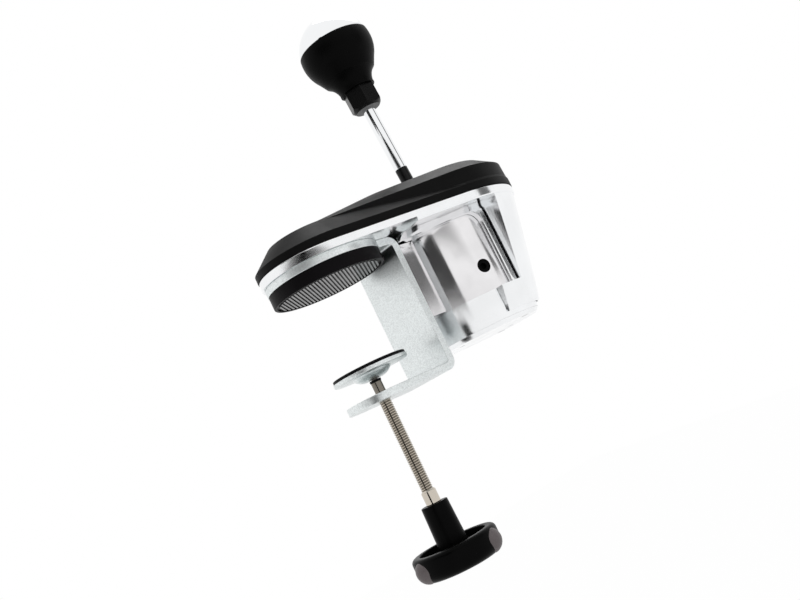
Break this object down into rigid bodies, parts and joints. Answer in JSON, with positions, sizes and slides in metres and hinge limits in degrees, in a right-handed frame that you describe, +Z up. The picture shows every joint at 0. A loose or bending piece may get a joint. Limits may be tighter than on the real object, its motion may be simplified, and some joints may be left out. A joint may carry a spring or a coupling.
{
  "type": "sim racing gear shifter",
  "caption": "Desk-clamp gear shifter for driving games: a spring-centred stick with a chrome-topped knob in a slotted gate, on a polished body with a screw clamp.",
  "frame": {"origin": "centre of the upper pad's underside, on the rib that rests on the desk top", "axes": "+Z up, along the clamp screw; +X from the clamp towards the stick; +Y across the gate"},
  "size_m": [0.2015, 0.122, 0.3759],
  "materials": {
    "cover_plastic": "fine moulded texture",
    "gate_steel": "brushed",
    "shell_metal": "polished casting",
    "barrel_metal": "brushed",
    "zinc_steel": "zinc plated, fine spangle",
    "pad_rubber": "matte, ribbed",
    "foot_rubber": "matte",
    "thread_steel": "nickel plated",
    "handle_plastic": "satin",
    "knob_plastic": "fine texture",
    "knob_chrome": "mirror polished",
    "stick_chrome": "polished",
    "collar_metal": "satin dark grey",
    "bush_plastic": "satin",
    "brass_insert": "turned",
    "fixing_steel": "plain",
    "pin_steel": "ground",
    "spring_steel": "drawn wire",
    "board_laminate": "solder mask",
    "chip_black": "moulded",
    "magnet_dark": "ground",
    "socket_plastic": "moulded",
    "adjuster_black": "blackened"
  },
  "bodies": {
    "body": {"top_cover": "cover_plastic", "cover_screws": "fixing_steel", "gate_plate": "gate_steel", "gate_screws": "fixing_steel", "body_shell": "shell_metal", "mechanism_housing": "barrel_metal", "housing_screws": "fixing_steel", "barrel_base": "shell_metal", "base_cover": "shell_metal", "base_screws": "fixing_steel", "cable_socket": "socket_plastic", "sensor_board": "board_laminate", "board_screws": "fixing_steel", "hall_chip": "chip_black", "select_pins": "pin_steel", "centring_springs": "spring_steel", "detent_spring": "spring_steel", "friction_shoe": "bush_plastic", "adjuster_spring": "spring_steel", "clamp_bracket": "zinc_steel", "bracket_screws": "fixing_steel", "upper_pad": "pad_rubber"},
    "gimbal": {"gimbal_ring": "pin_steel"},
    "stick": {"pivot_ball": "pin_steel", "cross_pin": "pin_steel", "sensor_magnet": "magnet_dark", "gear_stick": "stick_chrome", "stick_bush": "bush_plastic", "knob_collar": "collar_metal", "knob_insert": "brass_insert", "knob_grip": "knob_plastic", "knob_cap": "knob_chrome"},
    "detent": {"detent_plunger": "pin_steel"},
    "adjuster": {"adjuster_screw": "adjuster_black"},
    "swivel": {"foot_ring": "foot_rubber"},
    "foot": {"foot_plate": "zinc_steel", "foot_pad": "foot_rubber"},
    "screw": {"clamp_screw": "thread_steel", "clamp_handle": "handle_plastic", "handle_bush": "brass_insert"}
  },
  "joints": [
    {"name": "gear_select", "type": "hinge", "parent": "body", "child": "gimbal", "pos_m": [0.10277, 0, -0.04], "axis": [1, 0, 0], "range_deg": [-9.76, 18.98], "stiffness_Nm_per_rad": 2.5, "deforming": ["centring_springs"]},
    {"name": "gear_shift", "type": "hinge", "parent": "gimbal", "child": "stick", "pos_m": [0.10277, 0, -0.04], "axis": [0, 1, 0], "range_deg": [-12, 12]},
    {"name": "detent_slide", "type": "slide", "parent": "body", "child": "detent", "axis": [0, 0, -1], "range_m": [0, 0.002], "stiffness_N_per_m": 600, "springref_m": -0.001, "deforming": ["detent_spring"]},
    {"name": "adjuster_turn", "type": "hinge", "parent": "body", "child": "adjuster", "pos_m": [0.10277, 0, -0.028], "axis": [-0.309, -0.9511, 0], "continuous": true},
    {"name": "clamp_travel", "type": "slide", "parent": "body", "child": "swivel", "axis": [0, 0, 1], "range_m": [-0.003, 0.052]},
    {"name": "foot_tilt", "type": "hinge", "parent": "swivel", "child": "foot", "pos_m": [0, 0, -0.0621], "axis": [0, 1, 0], "range_deg": [-5, 5]},
    {"name": "screw_turn", "type": "hinge", "parent": "swivel", "child": "screw", "pos_m": [0, 0, -0.1], "axis": [0, 0, 1], "range_deg": [-730, 12490]}
  ],
  "couplings": [
    {"joint": "screw_turn", "follows": "clamp_travel", "rad_per_m": 4188.8}
  ]
}
